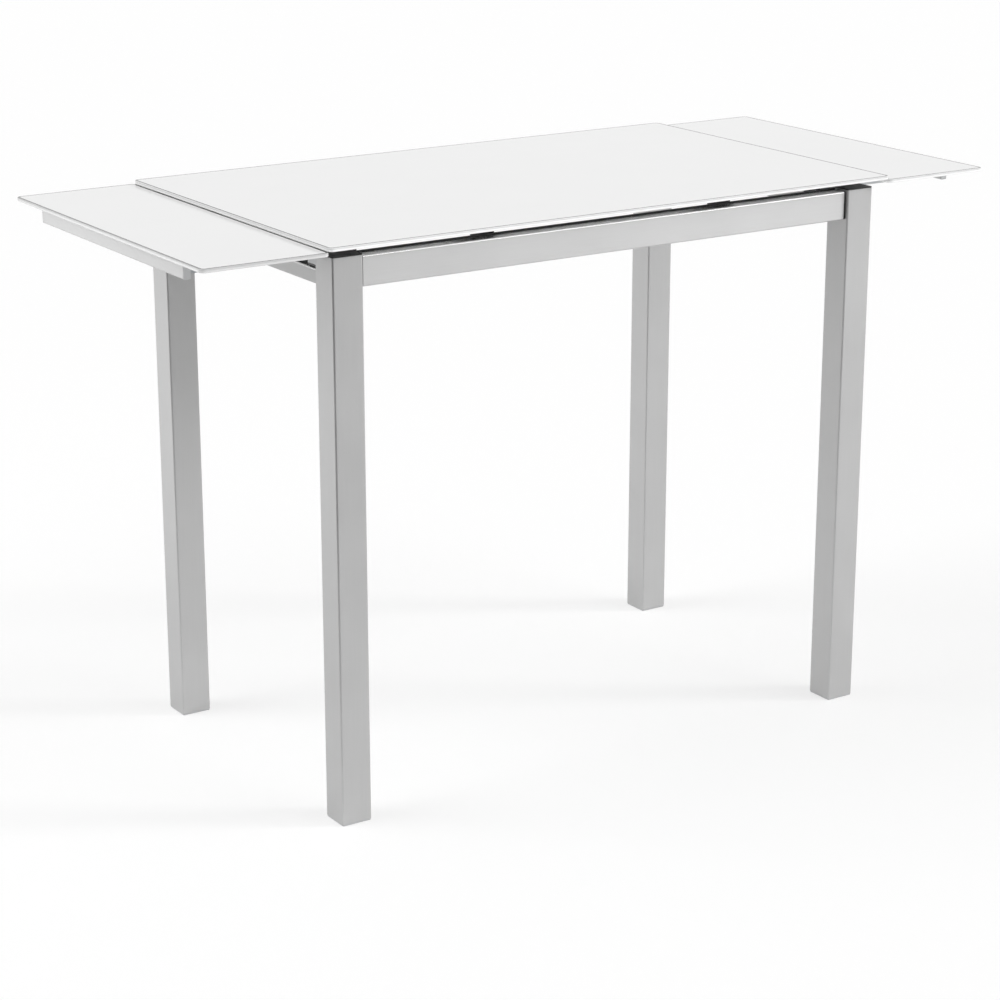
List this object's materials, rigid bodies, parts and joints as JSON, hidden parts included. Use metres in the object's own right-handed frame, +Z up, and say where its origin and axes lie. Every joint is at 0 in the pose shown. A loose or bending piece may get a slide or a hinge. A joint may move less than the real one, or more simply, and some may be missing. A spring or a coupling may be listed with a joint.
{
  "type": "extending table",
  "caption": "Rectangular table on square tube legs with a white glass top and a sliding glass leaf at each end.",
  "frame": {"origin": "centre of the footprint on the floor", "axes": "+X along the table's length to the right, +Y to the back, +Z up"},
  "size_m": [1.25, 0.55, 0.78],
  "materials": {
    "satin_steel": "satin silver",
    "white_glass": "gloss, white on the back",
    "black_plastic": "matte",
    "grey_plastic": "matte",
    "black_rubber": "matte",
    "black_steel": "semi-gloss black",
    "zinc_steel": "zinc plated"
  },
  "bodies": {
    "frame": {"leg_caps": "black_plastic", "apron_end_plugs": "black_plastic", "side_rail_end_plugs": "black_plastic", "support_blocks": "black_plastic", "foot_plugs": "grey_plastic", "guide_bushes": "grey_plastic", "rubber_strips": "black_rubber", "glass_pads": "black_rubber", "leg_front_left": "satin_steel", "leg_front_right": "satin_steel", "leg_rear_left": "satin_steel", "leg_rear_right": "satin_steel", "front_apron": "satin_steel", "rear_apron": "satin_steel", "left_side_rail": "satin_steel", "right_side_rail": "satin_steel", "corner_bracket_front_left": "black_steel", "corner_bracket_front_right": "black_steel", "corner_bracket_rear_left": "black_steel", "corner_bracket_rear_right": "black_steel", "front_guide_angle": "black_steel", "rear_guide_angle": "black_steel", "left_flat_bar": "black_steel", "right_flat_bar": "black_steel", "leg_bolts": "zinc_steel", "apron_bolts": "zinc_steel", "side_rail_bolts": "zinc_steel", "rivet_nuts": "zinc_steel", "angle_screws": "zinc_steel", "guide_front_left": "zinc_steel", "guide_front_right": "zinc_steel", "guide_rear_left": "zinc_steel", "guide_rear_right": "zinc_steel", "guide_screws": "zinc_steel", "flat_bar_screws": "zinc_steel", "middle_glass": "white_glass"},
    "left_leaf": {"left_leaf_glass": "white_glass", "left_end_bar": "satin_steel", "left_end_bar_caps": "grey_plastic", "left_end_tape": "black_rubber", "left_front_rail": "zinc_steel", "left_rear_rail": "zinc_steel", "left_front_carrier": "zinc_steel", "left_rear_carrier": "zinc_steel", "left_rail_shoes": "black_plastic", "left_leaf_pads": "black_rubber"},
    "right_leaf": {"right_leaf_glass": "white_glass", "right_end_bar": "satin_steel", "right_end_bar_caps": "grey_plastic", "right_end_tape": "black_rubber", "right_front_rail": "zinc_steel", "right_rear_rail": "zinc_steel", "right_front_carrier": "zinc_steel", "right_rear_carrier": "zinc_steel", "right_rail_shoes": "black_plastic", "right_leaf_pads": "black_rubber"}
  },
  "joints": [
    {"name": "left_leaf_slide", "type": "slide", "parent": "frame", "child": "left_leaf", "axis": [1, 0, 0], "range_m": [0, 0.175]},
    {"name": "right_leaf_slide", "type": "slide", "parent": "frame", "child": "right_leaf", "axis": [-1, 0, 0], "range_m": [0, 0.175]}
  ]
}
